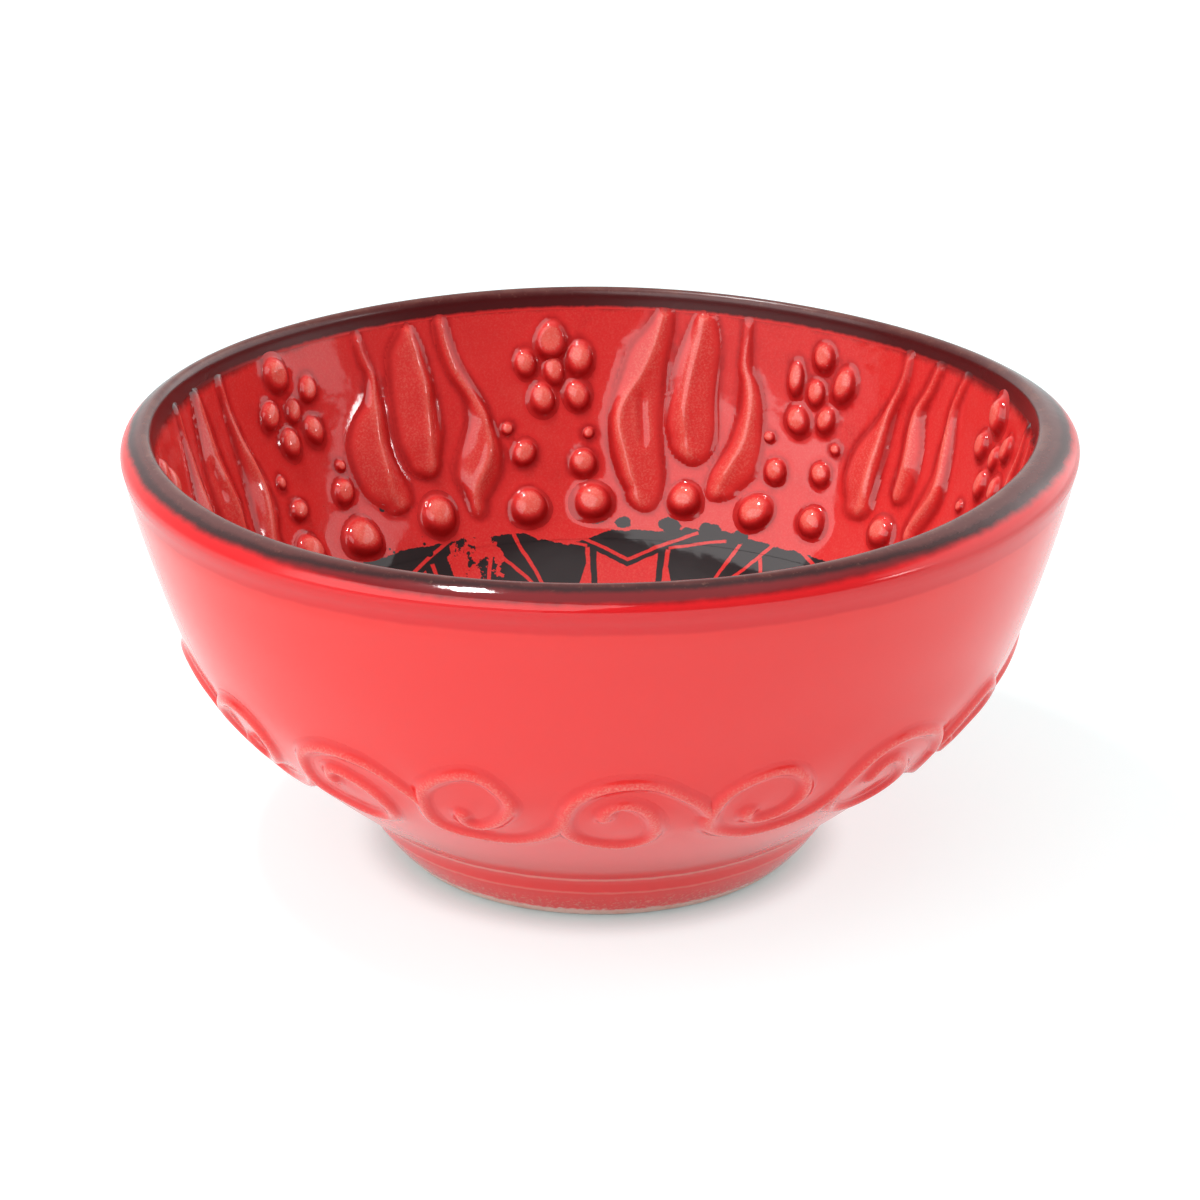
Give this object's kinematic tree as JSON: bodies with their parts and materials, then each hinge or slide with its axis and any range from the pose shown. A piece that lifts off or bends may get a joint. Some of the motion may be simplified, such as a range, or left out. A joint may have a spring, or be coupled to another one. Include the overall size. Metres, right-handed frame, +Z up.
{
  "type": "footed bowl",
  "caption": "Small footed ceramic bowl, red glaze with a dark rim, raised slip flowers, tulips and dots inside and a running vine scroll outside.",
  "frame": {"origin": "middle of the foot ring, on the surface it stands on", "axes": "+Z up along the bowl's axis; -Y towards the viewer of the picture, +X to the viewer's right"},
  "size_m": [0.12, 0.12, 0.0572],
  "materials": {
    "clay": "bare fired clay, matt",
    "outer_red": "glossy red glaze",
    "inner_red": "glossy deep red glaze",
    "rim_brown": "glossy brown glaze, thin on the crest",
    "medallion_black": "black underglaze brushwork with red lines, under clear glaze",
    "raised_slip": "trailed slip under red glaze, paler on top",
    "vine_slip": "trailed slip under red glaze"
  },
  "bodies": {
    "root": {"clay_body": "clay", "foot_ring": "clay", "outer_glaze": "outer_red", "rim_glaze": "rim_brown", "inner_glaze": "inner_red", "floor_medallion": "medallion_black", "flower_1": "raised_slip", "dot_pairs_1": "raised_slip", "tulip_1": "raised_slip", "ring_bead_1": "raised_slip", "vine_1": "vine_slip", "flower_2": "raised_slip", "dot_pairs_2": "raised_slip", "tulip_2": "raised_slip", "ring_bead_2": "raised_slip", "vine_2": "vine_slip", "flower_3": "raised_slip", "dot_pairs_3": "raised_slip", "tulip_3": "raised_slip", "ring_bead_3": "raised_slip", "vine_3": "vine_slip", "flower_4": "raised_slip", "dot_pairs_4": "raised_slip", "tulip_4": "raised_slip", "ring_bead_4": "raised_slip", "vine_4": "vine_slip", "flower_5": "raised_slip", "dot_pairs_5": "raised_slip", "tulip_5": "raised_slip", "ring_bead_5": "raised_slip", "vine_5": "vine_slip", "flower_6": "raised_slip", "dot_pairs_6": "raised_slip", "tulip_6": "raised_slip", "ring_bead_6": "raised_slip", "vine_6": "vine_slip", "flower_7": "raised_slip", "dot_pairs_7": "raised_slip", "tulip_7": "raised_slip", "ring_bead_7": "raised_slip", "vine_7": "vine_slip", "flower_8": "raised_slip", "dot_pairs_8": "raised_slip", "tulip_8": "raised_slip", "ring_bead_8": "raised_slip", "vine_8": "vine_slip", "flower_9": "raised_slip", "dot_pairs_9": "raised_slip", "tulip_9": "raised_slip", "ring_bead_9": "raised_slip", "vine_9": "vine_slip"}
  },
  "joints": []
}
